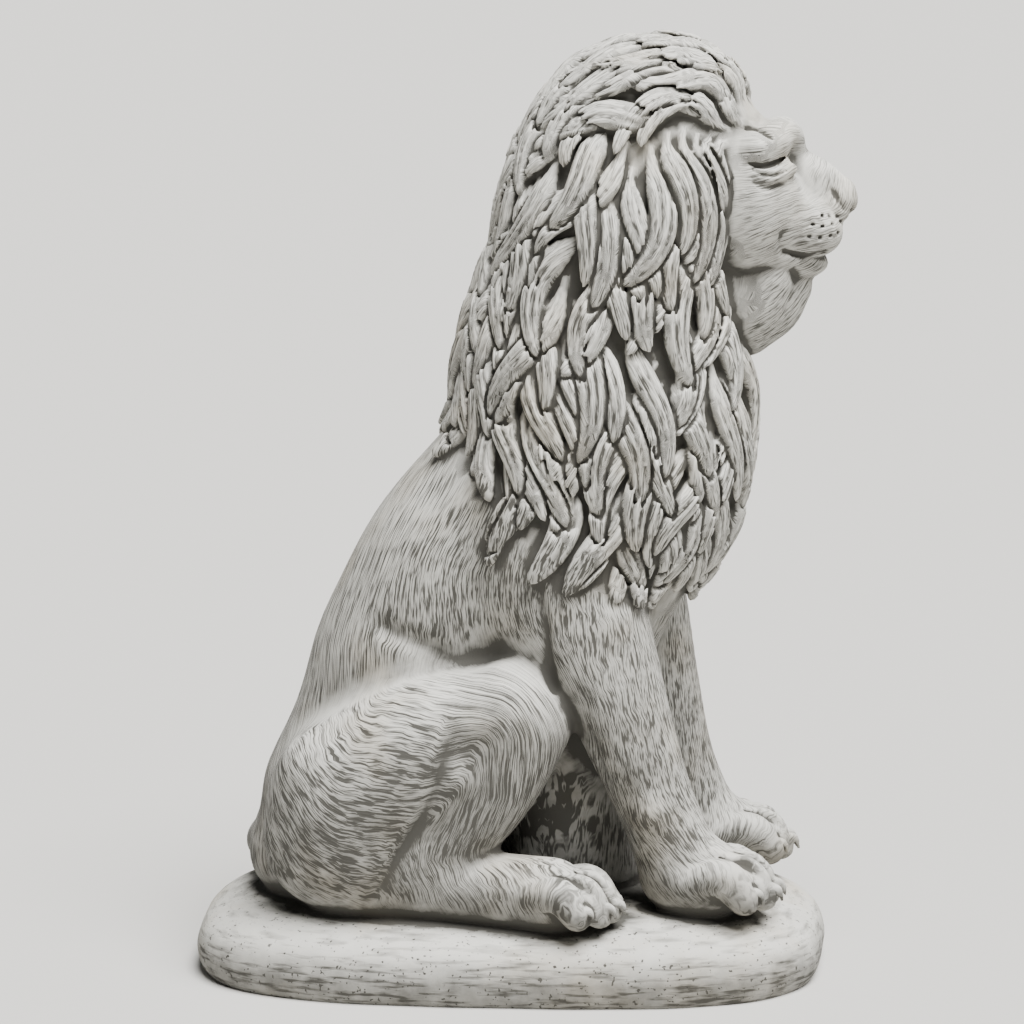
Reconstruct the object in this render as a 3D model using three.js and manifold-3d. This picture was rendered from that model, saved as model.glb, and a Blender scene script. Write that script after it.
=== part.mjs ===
// A seated lion garden statue, cast in stone in one piece with its low base.
// Millimetres, +Z up. The lion faces +X, its right side is -Y, and the origin is the
// middle of the base's underside.
//
// The lion is modelled as clay is: rounded forms are pressed together on a modelling
// grid, creases are cut, locks of hair are laid over the mane, and the skin of the
// result is drawn off as triangles and thinned where the surface is plain.
import * as THREE from 'three';
import { edgeTable, triTable } from 'three/addons/objects/MarchingCubes.js';
import { mergeVertices } from 'three/addons/utils/BufferGeometryUtils.js';
import Module from 'manifold-3d';

// Base
const BASE_LENGTH = 342;
const BASE_WIDTH = 228;
const BASE_CROWN = 52; // height of the base's top under the lion
const BASE_EDGE = 40; // height where the top starts to roll over into the side
const BASE_FOOT = 8; // height of the underside while modelling, brought to 0 at the end
const BASE_FOOT_INSET = 5; // how far the underside stands in from the widest line
const BASE_SQUARENESS = 0.66; // 1 would be an ellipse in plan, 0 a rectangle
const BASE_SIDES = 48;

// Lion
const FORELEG_SPREAD = 54; // from the middle plane to the middle of a foreleg
const HINDLEG_SPREAD = 70;
const LEFT_PAW_AHEAD = 7; // the left foreleg stands this far in front of the right one

// Locks of the mane
const LOCK_LENGTH = 62;
const LOCK_WIDTH = 16;
const LOCK_FLATNESS = 0.7; // depth of a lock over its width
const LOCK_LIFT = 4; // how far a lock's middle stands off the mane
const LOCK_ROW = 30; // spacing of roots along the hair
const LOCK_PITCH = 12.5; // spacing of roots across the hair
const LOCK_SWING = 0.5; // how far a lock waves to each side, in radians
const LOCK_WAVE = 62; // length of one wave
const LOCK_STEP = 5;
const LOCK_SEED = 7;
const LOCK_TRIES = 4000;

// Modelling grid and skin
const CELL = 2.5;
const LION_TRIANGLES = 8400;

const vec = (x, y, z) => new THREE.Vector3(x, y, z);
const rad = THREE.MathUtils.degToRad;
const smoothStep = (low, high, x) => THREE.MathUtils.smoothstep(x, low, high);

// A repeatable stream of numbers from 0 to 1.
function seededRandom(seed) {
  let state = seed;
  return () => {
    state = (state * 16807) % 2147483647;
    return state / 2147483647;
  };
}

// Distance to the nearer of two surfaces, with a fillet about as wide as blend between them.
const fillet = (a, b, blend) => {
  const h = Math.max(0, 1 - Math.abs(a - b) / blend);
  return Math.min(a, b) - h * h * blend / 4;
};

// Distance to an ellipse or ellipsoid from how far out a point is along each half axis.
const roundDistance = (out, slope, least) => (slope > 0 ? out * (out - 1) / slope : -least);

// An egg shape. Pitch lifts its +X end, and yaw turns that end towards +Y, in degrees.
function egg(centre, radii, pitch = 0, yaw = 0) {
  const turn = new THREE.Matrix4().makeRotationFromEuler(new THREE.Euler(0, rad(-pitch), rad(yaw), 'ZYX'));
  const m = turn.invert().elements;
  const [rx, ry, rz] = radii;
  const turned = pitch !== 0 || yaw !== 0;
  const reach = turned ? vec(1, 1, 1).multiplyScalar(Math.max(...radii)) : vec(...radii);
  return {
    box: new THREE.Box3(centre.clone().sub(reach), centre.clone().add(reach)),
    distance(x, y, z) {
      const dx = x - centre.x;
      const dy = y - centre.y;
      const dz = z - centre.z;
      const u = (m[0] * dx + m[4] * dy + m[8] * dz) / rx;
      const v = (m[1] * dx + m[5] * dy + m[9] * dz) / ry;
      const w = (m[2] * dx + m[6] * dy + m[10] * dz) / rz;
      return roundDistance(Math.hypot(u, v, w), Math.hypot(u / rx, v / ry, w / rz), Math.min(rx, ry, rz));
    },
  };
}

// A limb that swells and tapers along a smooth curve through its points.
function limb(points, radii) {
  const count = 6 * (points.length - 1);
  const curve = new THREE.CatmullRomCurve3(points, false, 'centripetal');
  const thickness = new THREE.SplineCurve(radii.map((r, i) => new THREE.Vector2(i, r)));
  const at = Array.from({ length: count + 1 }, (_, i) => (
    { p: curve.getPoint(i / count), r: thickness.getPoint(i / count).y }));
  const box = new THREE.Box3();
  at.forEach(({ p, r }) => {
    box.expandByPoint(p.clone().addScalar(r));
    box.expandByPoint(p.clone().addScalar(-r));
  });
  return {
    box,
    distance(x, y, z) {
      let best = Infinity;
      for (let i = 0; i < count; i++) best = Math.min(best, spanDistance(at[i], at[i + 1], x, y, z));
      return best;
    },
  };
}

// Distance to one straight, tapering span of a limb.
function spanDistance(a, b, x, y, z) {
  const ex = b.p.x - a.p.x;
  const ey = b.p.y - a.p.y;
  const ez = b.p.z - a.p.z;
  const qx = x - a.p.x;
  const qy = y - a.p.y;
  const qz = z - a.p.z;
  const along = (qx * ex + qy * ey + qz * ez) / (ex * ex + ey * ey + ez * ez);
  const t = Math.min(1, Math.max(0, along));
  return Math.hypot(qx - t * ex, qy - t * ey, qz - t * ez) - (a.r + t * (b.r - a.r));
}

// Corners of a grid cell and the edges between them, in marching cubes' order.
const CORNERS = [[0, 0, 0], [1, 0, 0], [1, 1, 0], [0, 1, 0], [0, 0, 1], [1, 0, 1], [1, 1, 1], [0, 1, 1]];
const EDGES = [
  [0, 1], [1, 2], [2, 3], [3, 0], [4, 5], [5, 6], [6, 7], [7, 4], [0, 4], [1, 5], [2, 6], [3, 7],
];

// The modelling grid: distance to the clay's surface at each point, below zero inside.
class Clay {
  constructor(box, cell) {
    this.cell = cell;
    this.low = box.min.clone();
    const size = box.getSize(vec(0, 0, 0)).divideScalar(cell).ceil();
    this.nx = size.x + 1;
    this.ny = size.y + 1;
    this.nz = size.z + 1;
    this.field = new Float32Array(this.nx * this.ny * this.nz).fill(1e3);
  }

  // Calls change(old, distance) at each grid point that the form can reach.
  press(form, margin, change) {
    const toGrid = (p) => p.sub(this.low).divideScalar(this.cell);
    const most = vec(this.nx - 1, this.ny - 1, this.nz - 1);
    const from = toGrid(form.box.min.clone().subScalar(margin)).floor().clamp(vec(0, 0, 0), most);
    const to = toGrid(form.box.max.clone().addScalar(margin)).ceil().clamp(vec(0, 0, 0), most);
    for (let k = from.z; k <= to.z; k++) {
      const z = this.low.z + k * this.cell;
      for (let j = from.y; j <= to.y; j++) {
        const y = this.low.y + j * this.cell;
        for (let i = from.x; i <= to.x; i++) {
          const at = (k * this.ny + j) * this.nx + i;
          this.field[at] = change(this.field[at], form.distance(this.low.x + i * this.cell, y, z));
        }
      }
    }
  }

  // Adds a form, with a fillet about as wide as blend where it meets what is there.
  add(form, blend) {
    this.press(form, blend + 2 * this.cell, (old, d) => fillet(old, d, blend));
  }

  // Cuts a form away, with the cut's edges rounded by blend.
  carve(form, blend) {
    this.press(form, blend + 2 * this.cell, (old, d) => -fillet(-old, d, blend));
  }

  // The place where the surface crosses the line between two grid points.
  crossing(a, b) {
    const { nx, ny, field } = this;
    const place = (g) => vec(g % nx, Math.floor(g / nx) % ny, Math.floor(g / (nx * ny)));
    const t = THREE.MathUtils.clamp(field[a] / (field[a] - field[b]), 0.12, 0.88);
    return place(a).lerp(place(b), t).multiplyScalar(this.cell).add(this.low);
  }

  // The surface as shared points and triangles.
  skin() {
    const { field, nx, ny, nz } = this;
    const offsets = CORNERS.map(([i, j, k]) => (k * ny + j) * nx + i);
    const points = [];
    const faces = [];
    const known = new Map();
    const pointOn = (a, b) => {
      const key = Math.min(a, b) * field.length + Math.max(a, b);
      if (!known.has(key)) known.set(key, points.push(this.crossing(a, b)) - 1);
      return known.get(key);
    };
    const cut = (g) => {
      let kind = 0;
      for (let c = 0; c < 8; c++) kind |= field[g + offsets[c]] < 0 ? 1 << c : 0;
      if (edgeTable[kind] === 0) return;
      const corner = (entry) => pointOn(...EDGES[triTable[entry]].map((c) => g + offsets[c]));
      for (let t = kind * 16; triTable[t] >= 0; t += 3) faces.push([corner(t), corner(t + 2), corner(t + 1)]);
    };
    for (let k = 0; k < nz - 1; k++) {
      for (let j = 0; j < ny - 1; j++) {
        for (let i = 0; i < nx - 1; i++) cut((k * ny + j) * nx + i);
      }
    }
    return { points, faces };
  }
}

// A queue that gives back the cheapest item first.
class CheapestFirst {
  constructor() {
    this.items = [];
  }

  swap(i, j) {
    [this.items[i], this.items[j]] = [this.items[j], this.items[i]];
  }

  push(item) {
    let i = this.items.push(item) - 1;
    for (let up = (i - 1) >> 1; i > 0 && this.items[up].cost > item.cost; up = (i - 1) >> 1) {
      this.swap(i, up);
      i = up;
    }
  }

  pop() {
    const { items } = this;
    this.swap(0, items.length - 1);
    const top = items.pop();
    for (let i = 0, child = 1; child < items.length; child = 2 * i + 1) {
      if (child + 1 < items.length && items[child + 1].cost < items[child].cost) child++;
      if (items[child].cost >= items[i].cost) break;
      this.swap(i, child);
      i = child;
    }
    return top;
  }
}

const faceNormal = (a, b, c) => b.clone().sub(a).cross(c.clone().sub(a));

// How close a triangle is to an even one, from 0 to 1.
const evenness = (p, q, r, doubleArea) => 1.15 * doubleArea
  / Math.max(p.distanceToSquared(q), q.distanceToSquared(r), r.distanceToSquared(p));

// Squared distance of p from a set of planes, summed as the ten numbers of a quadric.
const quadricError = (q, { x, y, z }) => q[0] * x * x + q[4] * y * y + q[7] * z * z + q[9]
  + 2 * (q[1] * x * y + q[2] * x * z + q[3] * x + q[5] * y * z + q[6] * y + q[8] * z);

function planeQuadric(normal, onPlane, weight) {
  const { x, y, z } = normal;
  const d = -normal.dot(onPlane);
  return [x * x, x * y, x * z, x * d, y * y, y * z, y * d, z * z, z * d, d * d].map((v) => v * weight);
}

// Thins a closed skin by collapsing the edges whose loss changes the shape least.
class Thinner {
  // weightOf(point) says how much a change there counts.
  constructor({ points, faces }, weightOf) {
    this.points = points;
    this.faces = faces;
    this.rings = points.map(() => new Set());
    this.quadrics = points.map(() => new Float64Array(10));
    this.moves = new Int32Array(points.length);
    this.queue = new CheapestFirst();
    faces.forEach((face, f) => {
      const [a, b, c] = face.map((v) => points[v]);
      const normal = faceNormal(a, b, c);
      const weight = normal.length() * weightOf(a);
      const quadric = planeQuadric(normal.normalize(), a, weight);
      face.forEach((v) => {
        this.rings[v].add(f);
        quadric.forEach((x, i) => { this.quadrics[v][i] += x; });
      });
    });
    faces.forEach(([a, b, c]) => {
      if (a < b) this.offer(a, b);
      if (b < c) this.offer(b, c);
      if (c < a) this.offer(c, a);
    });
  }

  // Queues the edge between two points, with the best single point to replace it.
  offer(a, b) {
    const pa = this.points[a];
    const pb = this.points[b];
    const q = this.quadrics[a].map((x, i) => x + this.quadrics[b][i]);
    const middle = pa.clone().lerp(pb, 0.5);
    const tries = [middle, pa, pb];
    const m = new THREE.Matrix3().set(q[0], q[1], q[2], q[1], q[4], q[5], q[2], q[5], q[7]);
    if (Math.cbrt(Math.abs(m.determinant())) > 1e-3 * Math.max(q[0], q[4], q[7])) {
      const best = vec(-q[3], -q[6], -q[8]).applyMatrix3(m.invert());
      if (best.distanceTo(middle) < pa.distanceTo(pb)) tries.push(best);
    }
    const errors = tries.map((p) => Math.max(0, quadricError(q, p)));
    const least = Math.min(...errors);
    const cost = least + 1e-4 * pa.distanceToSquared(pb);
    const target = tries[errors.indexOf(least)];
    this.queue.push({ a, b, cost, target, moveA: this.moves[a], moveB: this.moves[b] });
  }

  neighbours(v) {
    const found = new Set();
    this.rings[v].forEach((f) => this.faces[f].forEach((w) => found.add(w)));
    found.delete(v);
    return found;
  }

  // True if a face around v would turn over, or become a splinter, when v moves to p.
  folds(v, other, p) {
    return [...this.rings[v]].some((f) => {
      if (this.faces[f].includes(other)) return false;
      const before = this.faces[f].map((w) => this.points[w]);
      const after = this.faces[f].map((w) => (w === v ? p : this.points[w]));
      const was = faceNormal(...before);
      const now = faceNormal(...after);
      if (was.dot(now) < 0.3 * was.length() * now.length()) return true;
      const even = evenness(...after, now.length());
      return even < 0.12 && even < evenness(...before, was.length());
    });
  }

  // True if the edge can go without pinching or folding the skin.
  canCollapse({ a, b, target, moveA, moveB }) {
    if (this.moves[a] !== moveA || this.moves[b] !== moveB) return false;
    const aroundB = this.neighbours(b);
    const shared = [...this.neighbours(a)].filter((v) => aroundB.has(v));
    if (shared.length !== 2 || shared.some((v) => this.rings[v].size < 4)) return false;
    return !this.folds(a, b, target) && !this.folds(b, a, target);
  }

  collapse({ a, b, target }) {
    this.rings[b].forEach((f) => {
      if (this.faces[f].includes(a)) {
        this.faces[f].forEach((v) => this.rings[v].delete(f));
        this.faces[f] = null;
      } else {
        this.faces[f] = this.faces[f].map((v) => (v === b ? a : v));
        this.rings[a].add(f);
      }
    });
    this.rings[b].clear();
    this.points[a] = target.clone();
    this.quadrics[b].forEach((x, i) => { this.quadrics[a][i] += x; });
    this.moves[b] = -1;
    this.moves[a]++;
    this.neighbours(a).forEach((v) => this.offer(a, v));
  }

  // Collapses edges until this many faces are left.
  run(count) {
    for (let left = this.faces.length; left > count && this.queue.items.length > 0;) {
      const edge = this.queue.pop();
      if (!this.canCollapse(edge)) continue;
      this.collapse(edge);
      left -= 2;
    }
    return { points: this.points, faces: this.faces.filter(Boolean) };
  }
}

// Forms for the right side and then the left.
const bothSides = (make) => [-1, 1].flatMap(make);

// Each form below is listed with the width of the fillet that joins it on.
const body = [
  [egg(vec(-80, 0, 96), [57, 66, 58]), 20], // rump
  [egg(vec(-92, 0, 66), [52, 60, 32]), 16], // seat
  [egg(vec(-54, 0, 160), [58, 60, 60]), 30], // loins
  [egg(vec(-32, 0, 205), [58, 61, 60]), 30], // middle of the back
  [egg(vec(-6, 0, 240), [60, 64, 74], -20), 30], // ribs
  [egg(vec(40, 0, 262), [64, 66, 86]), 30], // chest
  [limb([vec(28, 0, 215), vec(30, 0, 130), vec(34, 0, 66)], [50, 42, 40]), 22], // belly wall
];

const hindleg = (side) => {
  const y = side * HINDLEG_SPREAD;
  const thigh = [vec(-80, side * 54, 104), vec(-40, side * 62, 134), vec(2, y, 156)];
  const shin = [vec(8, y, 152), vec(-8, y, 116), vec(-44, y, 72)];
  const foot = [vec(-58, y - side * 4, 62), vec(-14, y + side * 4, 64), vec(26, y + side * 10, 62)];
  return [
    [limb(thigh, [48, 42, 29]), 10],
    [egg(vec(-74, side * 60, 82), [54, 36, 38]), 12], // haunch
    [limb(shin, [28, 24, 20]), 5],
    [limb(foot, [18, 19, 20]), 8],
    ...toes(vec(34, y + side * 12, 58), side * 24, 0.92),
  ];
};

const foreleg = (side) => {
  const x = side > 0 ? LEFT_PAW_AHEAD : 0;
  const y = side * FORELEG_SPREAD;
  const arm = [
    vec(46 + 2.3 * x, y, 205), vec(64 + 1.7 * x, y, 150), vec(80 + 1.2 * x, y, 108), vec(94 + x, y, 74),
  ];
  return [
    [egg(vec(26 + x / 2, side * 54, 232), [38, 30, 62], 15), 18], // shoulder
    [limb(arm, [30, 25, 21, 22]), 10],
    [egg(vec(104 + x, y, 66), [30, 25, 21]), 8], // paw
    ...toes(vec(114 + x, y + side * 2, 62), side * 8, 1),
  ];
};

// Four toes fanned about a paw's heading, which yaw turns towards +Y, in degrees.
function toes(heel, yaw, size) {
  const ahead = vec(Math.cos(rad(yaw)), Math.sin(rad(yaw)), 0);
  const across = vec(-ahead.y, ahead.x, 0);
  return [-1.5, -0.5, 0.5, 1.5].map((step) => {
    const reach = Math.abs(step) > 1 ? 12 : 20;
    const at = (forward, up) => heel.clone().addScaledVector(across, step * 12.5 * size)
      .addScaledVector(ahead, (reach + forward) * size).add(vec(0, 0, up * size));
    return [limb([at(-26, 6), at(-6, 9), at(5, -1)], [9 * size, 10.5 * size, 9 * size]), 3];
  });
}

// One side of the head, joined to the forms of its middle.
const halfHead = (side) => {
  const lowerLid = [vec(128, side * 35, 443), vec(140, side * 35, 439), vec(150, side * 27, 443)];
  const beard = [vec(138, side * 14, 382), vec(132, side * 13, 368), vec(122, side * 8, 354)];
  return [
    [egg(vec(125, side * 24, 420), [29, 19, 29], 0, -side * 12), 14], // cheek
    [egg(vec(138, side * 26, 446), [9, 8, 6.5]), 3], // eyeball
    [egg(vec(137, side * 26, 455), [11, 9.5, 8], 12), 2.5], // upper eyelid
    [limb(lowerLid, [2, 3, 2]), 4],
    [egg(vec(159, side * 12, 409), [17, 14, 13], -10, -side * 8), 5], // lip
    [egg(vec(172, side * 8, 421), [8, 6, 5.5], -30), 4], // wing of the nose
    [limb(beard, [11, 12, 10]), 8],
  ];
};

const brow = [vec(130, -34, 453), vec(143, -15, 457), vec(145, 0, 455), vec(143, 15, 457), vec(130, 34, 453)];
const head = [
  [egg(vec(104, 0, 432), [46, 44, 44]), 10], // skull
  [egg(vec(128, 0, 446), [24, 32, 19], -10), 10], // forehead
  [limb([vec(142, 0, 441), vec(160, 0, 434), vec(174, 0, 428)], [14, 13, 9]), 8], // bridge of the nose
  [egg(vec(149, 0, 413), [27, 26, 21]), 10], // muzzle
  [limb(brow, [7, 10.5, 10, 10.5, 7]), 7],
  ...bothSides(halfHead),
  [egg(vec(176, 0, 425), [8, 12, 6.5], -35), 4], // nose
  [egg(vec(155, 0, 391), [13.5, 15, 7]), 3], // chin
  [egg(vec(136, 0, 397), [27, 26, 11], -4), 5], // jaw
  [egg(vec(114, 0, 376), [28, 30, 34]), 8], // throat
  [limb([vec(149, 0, 378), vec(141, 0, 366), vec(128, 0, 355)], [11, 13, 12]), 8], // beard
];

// Creases of the face, each with the rounding of its edges.
const mouth = (side) => [vec(147, side * 26, 398), vec(158, side * 24, 396.5), vec(171, side * 9, 398)];
const faceCuts = [
  ...bothSides((side) => [
    [egg(vec(154, side * 20, 450), [6, 6, 7]), 6], // hollow beside the nose
    [limb(mouth(side), [1.5, 2, 1.5]), 2],
    [egg(vec(181, side * 6, 419.5), [4, 3, 2.5]), 2], // nostril
  ]),
  [limb([vec(182, 0, 416), vec(179, 0, 409), vec(174, 0, 399)], [1.5, 1.5, 1.5]), 2], // parting of the lips
];

const mane = [
  [egg(vec(76, 0, 456), [58, 56, 51]), 18], // crown
  [egg(vec(61, 0, 428), [50, 62, 50]), 24], // back of the head
  [egg(vec(56, 0, 395), [61, 74, 76]), 24], // neck
  [egg(vec(48, 0, 335), [73, 78, 76]), 24], // withers
  [egg(vec(68, 0, 292), [57, 66, 74]), 24], // chest ruff
  ...bothSides((side) => [[egg(vec(46, side * 38, 290), [48, 42, 72], 12), 20]]), // over the shoulders
];

// The tail, curled round the left haunch, with its tuft against the foot.
const tailBones = [vec(-122, 6, 74), vec(-138, 40, 62), vec(-118, 78, 60), vec(-80, 96, 60), vec(-54, 100, 66)];
const tail = [
  [limb(tailBones, [18, 13, 11, 10, 10]), 8],
  [limb([vec(-54, 100, 66), vec(-34, 101, 74), vec(-14, 99, 84)], [10, 14, 4]), 4], // tuft
];

// The surface that the mane's locks lie on.
const underMane = [...body, ...bothSides((side) => foreleg(side).slice(0, 2)), ...mane];
const joined = (forms, p) => forms.reduce(
  (d, [form, blend]) => fillet(d, form.distance(p.x, p.y, p.z), blend), 1e3);

function outward(p) {
  const slope = (d) => joined(underMane, p.clone().add(d)) - joined(underMane, p.clone().sub(d));
  return vec(slope(vec(2, 0, 0)), slope(vec(0, 2, 0)), slope(vec(0, 0, 2))).normalize();
}

// Moves a point to the surface under the mane.
function settle(p, steps) {
  for (let i = 0; i < steps; i++) p.addScaledVector(outward(p), -0.9 * joined(underMane, p));
  return p;
}

// The way that hair lies: away from the brow, back over the crown, and down below.
function hairFlow(p, normal) {
  const high = smoothStep(440, 495, p.z);
  const rear = (1 - smoothStep(30, 100, p.x)) * smoothStep(300, 420, p.z);
  const front = smoothStep(440, 465, p.z) * smoothStep(95, 120, p.x);
  const flow = vec(-0.1 - high - 0.5 * rear, 0.15 * p.y / 80, -1 + 1.15 * high);
  flow.lerp(p.clone().sub(vec(140, 0, 420)).normalize(), front);
  return flow.addScaledVector(normal, -flow.dot(normal)).normalize();
}

// True on the bare face and on the beard, which carry no locks.
const onFace = (p) => p.x > 106 && (Math.hypot(p.y / 47, (p.z - 425) / 46) < 1
  || (Math.abs(p.y) < 26 && p.z > 345 && p.z < 425));

// The height where the mane's tips end: low on the chest, rising towards the back.
const tipHeight = (p) => 208 + 0.0095 * Math.max(0, 69 - p.x) ** 2;

// One lock: a flattened, waving strand that tapers to a point.
function lock(path, halfWidth) {
  const last = path.length - 1;
  const taper = path.map((_, i) => {
    const t = i / last;
    return Math.max(0.12, Math.min(1, 0.5 + 1.6 * t) * Math.sqrt(Math.max(0, 1 - t ** 2.2)));
  });
  const box = new THREE.Box3().setFromPoints(path.map(({ p }) => p)).expandByScalar(halfWidth);
  const spanAt = (i, q) => {
    const step = path[i + 1].p.clone().sub(path[i].p);
    const offset = q.clone().sub(path[i].p);
    const t = THREE.MathUtils.clamp(offset.dot(step) / step.lengthSq(), 0, 1);
    offset.addScaledVector(step, -t);
    const rise = offset.dot(path[i].n.clone().lerp(path[i + 1].n, t).normalize());
    const aside = Math.sqrt(Math.max(0, offset.lengthSq() - rise * rise));
    const wide = halfWidth * THREE.MathUtils.lerp(taper[i], taper[i + 1], t);
    const deep = wide * LOCK_FLATNESS;
    return roundDistance(Math.hypot(aside / wide, rise / deep),
      Math.hypot(aside / wide / wide, rise / deep / deep), deep);
  };
  return {
    box,
    distance(x, y, z) {
      const q = vec(x, y, z);
      const gaps = path.map(({ p }) => p.distanceToSquared(q));
      const near = gaps.indexOf(Math.min(...gaps));
      return Math.min(spanAt(Math.max(0, near - 1), q), spanAt(Math.min(last - 1, near), q));
    },
  };
}

// The middle line of a lock that grows from p, waving about the way the hair lies.
function lockPath(p, reach, lowest, phase) {
  const path = [];
  const side = p.y < 0 ? 1 : -1;
  for (let gone = 0; gone <= reach && p.z > lowest; gone += LOCK_STEP) {
    const n = outward(p);
    const lift = LOCK_LIFT * (2.1 * smoothStep(0, 0.4, gone / reach) - 1.1);
    path.push({ p: p.clone().addScaledVector(n, lift), n });
    const turn = LOCK_SWING * Math.sin(2 * Math.PI * (gone / LOCK_WAVE + p.z / 90 + phase));
    settle(p.addScaledVector(hairFlow(p, n).applyAxisAngle(n, turn * side), LOCK_STEP), 1);
  }
  return path;
}

// True if a root lies too close to another, measured along and across the hair.
const crowded = (p, flow, roots) => roots.some((q) => {
  const gap = p.clone().sub(q);
  const along = gap.dot(flow);
  const across = Math.sqrt(Math.max(0, gap.lengthSq() - along * along));
  return Math.hypot(along / LOCK_ROW, across / LOCK_PITCH) < 1;
});

// Lays locks evenly over the mane.
function layLocks() {
  const random = seededRandom(LOCK_SEED);
  const roots = [];
  const locks = [];
  for (let i = 1; i <= LOCK_TRIES; i++) {
    const spread = vec(i * 0.8191725 % 1, i * 0.6710436 % 1, i * 0.5497005 % 1);
    const p = settle(spread.multiply(vec(180, 176, 305)).add(vec(-40, -88, 215)), 5);
    const phase = 0.35 * random();
    const length = random();
    const girth = random();
    if (joined(mane, p) > 4 || onFace(p) || p.z < tipHeight(p) + 22) continue;
    if (crowded(p, hairFlow(p, outward(p)), roots)) continue;
    roots.push(p.clone());
    const path = lockPath(p, LOCK_LENGTH * (0.8 + 0.45 * length), tipHeight(p) + 14 * length, phase);
    locks.push([lock(path, LOCK_WIDTH / 2 * (0.85 + 0.35 * girth)), 1.5]);
  }
  return locks;
}

function modelLion() {
  const clay = new Clay(new THREE.Box3(vec(-190, -130, 10), vec(205, 130, 540)), CELL);
  const press = (forms) => forms.forEach(([form, blend]) => clay.add(form, blend));
  press(body);
  press(bothSides(hindleg));
  press(bothSides(foreleg));
  press(tail);
  press(mane);
  press(head);
  faceCuts.forEach(([form, rounding]) => clay.carve(form, rounding));
  press(layLocks());
  return clay;
}

// How much detail each region keeps: most on the face, least inside the base.
function detail(p) {
  if (p.z < BASE_EDGE) return 0.02;
  if (p.x > 112 && p.z > 380) return 5;
  if (p.z < 92 && p.x > 0) return 2;
  return p.z > 215 && p.x > -40 ? 1.2 : 0.8;
}

// The base: a low cushion with a rounded-rectangle plan and a flat underside, from its
// crown down to its foot. Each ring stands in from the widest line by the first number.
function baseGeometry() {
  const rings = [
    [0, BASE_CROWN], [75, BASE_CROWN - 1], [40, BASE_CROWN - 4], [20, BASE_EDGE + 3], [9, BASE_EDGE - 2],
    [3, BASE_EDGE - 8], [0, BASE_EDGE - 17], [0, BASE_FOOT + 12], [1.5, BASE_FOOT + 5],
    [BASE_FOOT_INSET, BASE_FOOT], [0, BASE_FOOT],
  ];
  const geometry = new THREE.SphereGeometry(1, BASE_SIDES, rings.length - 1);
  const place = geometry.getAttribute('position');
  const square = (v) => Math.sign(v) * Math.abs(v) ** BASE_SQUARENESS;
  for (let i = 0; i < place.count; i++) {
    const row = Math.floor(i / (BASE_SIDES + 1));
    const angle = 2 * Math.PI * (i % (BASE_SIDES + 1)) / BASE_SIDES;
    const rim = new THREE.Vector2(square(Math.cos(angle)) * BASE_LENGTH, square(Math.sin(angle)) * BASE_WIDTH);
    const pole = row === 0 || row === rings.length - 1;
    rim.setLength(pole ? 0 : rim.length() / 2 - rings[row][0]);
    place.setXYZ(i, rim.x, rim.y, rings[row][1]);
  }
  return geometry;
}

function skinGeometry({ points, faces }) {
  const flat = new Float32Array(points.length * 3);
  points.forEach((p, i) => p.toArray(flat, i * 3));
  const geometry = new THREE.BufferGeometry();
  geometry.setAttribute('position', new THREE.BufferAttribute(flat, 3));
  return geometry.setIndex(faces.flat());
}

const wasm = await Module();
wasm.setup();

function solidOf(geometry) {
  const bare = geometry.clone().deleteAttribute('normal').deleteAttribute('uv');
  const merged = mergeVertices(bare, 1e-3);
  return new wasm.Manifold(new wasm.Mesh({
    numProp: 3,
    vertProperties: merged.attributes.position.array,
    triVerts: new Uint32Array(merged.index.array),
  }));
}

function solidGeometry(solid) {
  const mesh = solid.getMesh();
  const geometry = new THREE.BufferGeometry();
  geometry.setAttribute('position', new THREE.BufferAttribute(mesh.vertProperties, 3));
  return geometry.setIndex(new THREE.BufferAttribute(mesh.triVerts, 1));
}

// The lion itself, without the pinholes that close up between the locks.
const skin = new Thinner(modelLion().skin(), detail).run(LION_TRIANGLES);
const lion = solidOf(skinGeometry(skin)).decompose().reduce((a, b) => (a.volume() > b.volume() ? a : b));
const casting = lion.add(solidOf(baseGeometry()));

const stone = new THREE.MeshStandardMaterial({ color: 0xcfcdc6, roughness: 0.9, metalness: 0 });
const statue = new THREE.Mesh(solidGeometry(casting).translate(0, 0, -BASE_FOOT), stone);
statue.name = 'lion_statue';

const group = new THREE.Group();
group.name = 'lion_garden_statue';
group.add(statue);

export default group;
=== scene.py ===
import math
from collections import namedtuple
from functools import partial

import bpy
import numpy as np
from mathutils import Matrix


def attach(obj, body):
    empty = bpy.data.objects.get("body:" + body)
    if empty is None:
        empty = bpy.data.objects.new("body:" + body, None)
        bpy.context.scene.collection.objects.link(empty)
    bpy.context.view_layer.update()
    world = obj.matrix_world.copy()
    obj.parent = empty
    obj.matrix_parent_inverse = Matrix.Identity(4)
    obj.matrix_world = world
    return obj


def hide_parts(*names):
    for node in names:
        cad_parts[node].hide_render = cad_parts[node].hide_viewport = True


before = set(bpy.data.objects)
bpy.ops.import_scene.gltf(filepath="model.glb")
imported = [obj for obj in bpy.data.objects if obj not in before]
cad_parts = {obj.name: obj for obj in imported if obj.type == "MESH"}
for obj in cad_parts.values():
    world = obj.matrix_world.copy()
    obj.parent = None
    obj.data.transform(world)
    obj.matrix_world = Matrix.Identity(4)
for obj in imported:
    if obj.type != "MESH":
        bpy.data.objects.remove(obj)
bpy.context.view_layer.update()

import openvdb
from mathutils import Vector

bl_info = {
    "name": "Lion garden statue",
    "version": (1, 0, 0),
    "blender": (4, 5, 0),
    "location": "3D View > Sidebar > Lion statue",
    "description": "A seated lion cast in stone in one piece with its low base",
    "category": "Add Mesh",
}

# The frame is in metres with its origin in the middle of the base's underside. The forms
# below are in millimetres, and are modelled with the underside this far above zero.
MM = 0.001
FOOT = 8.0

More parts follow.
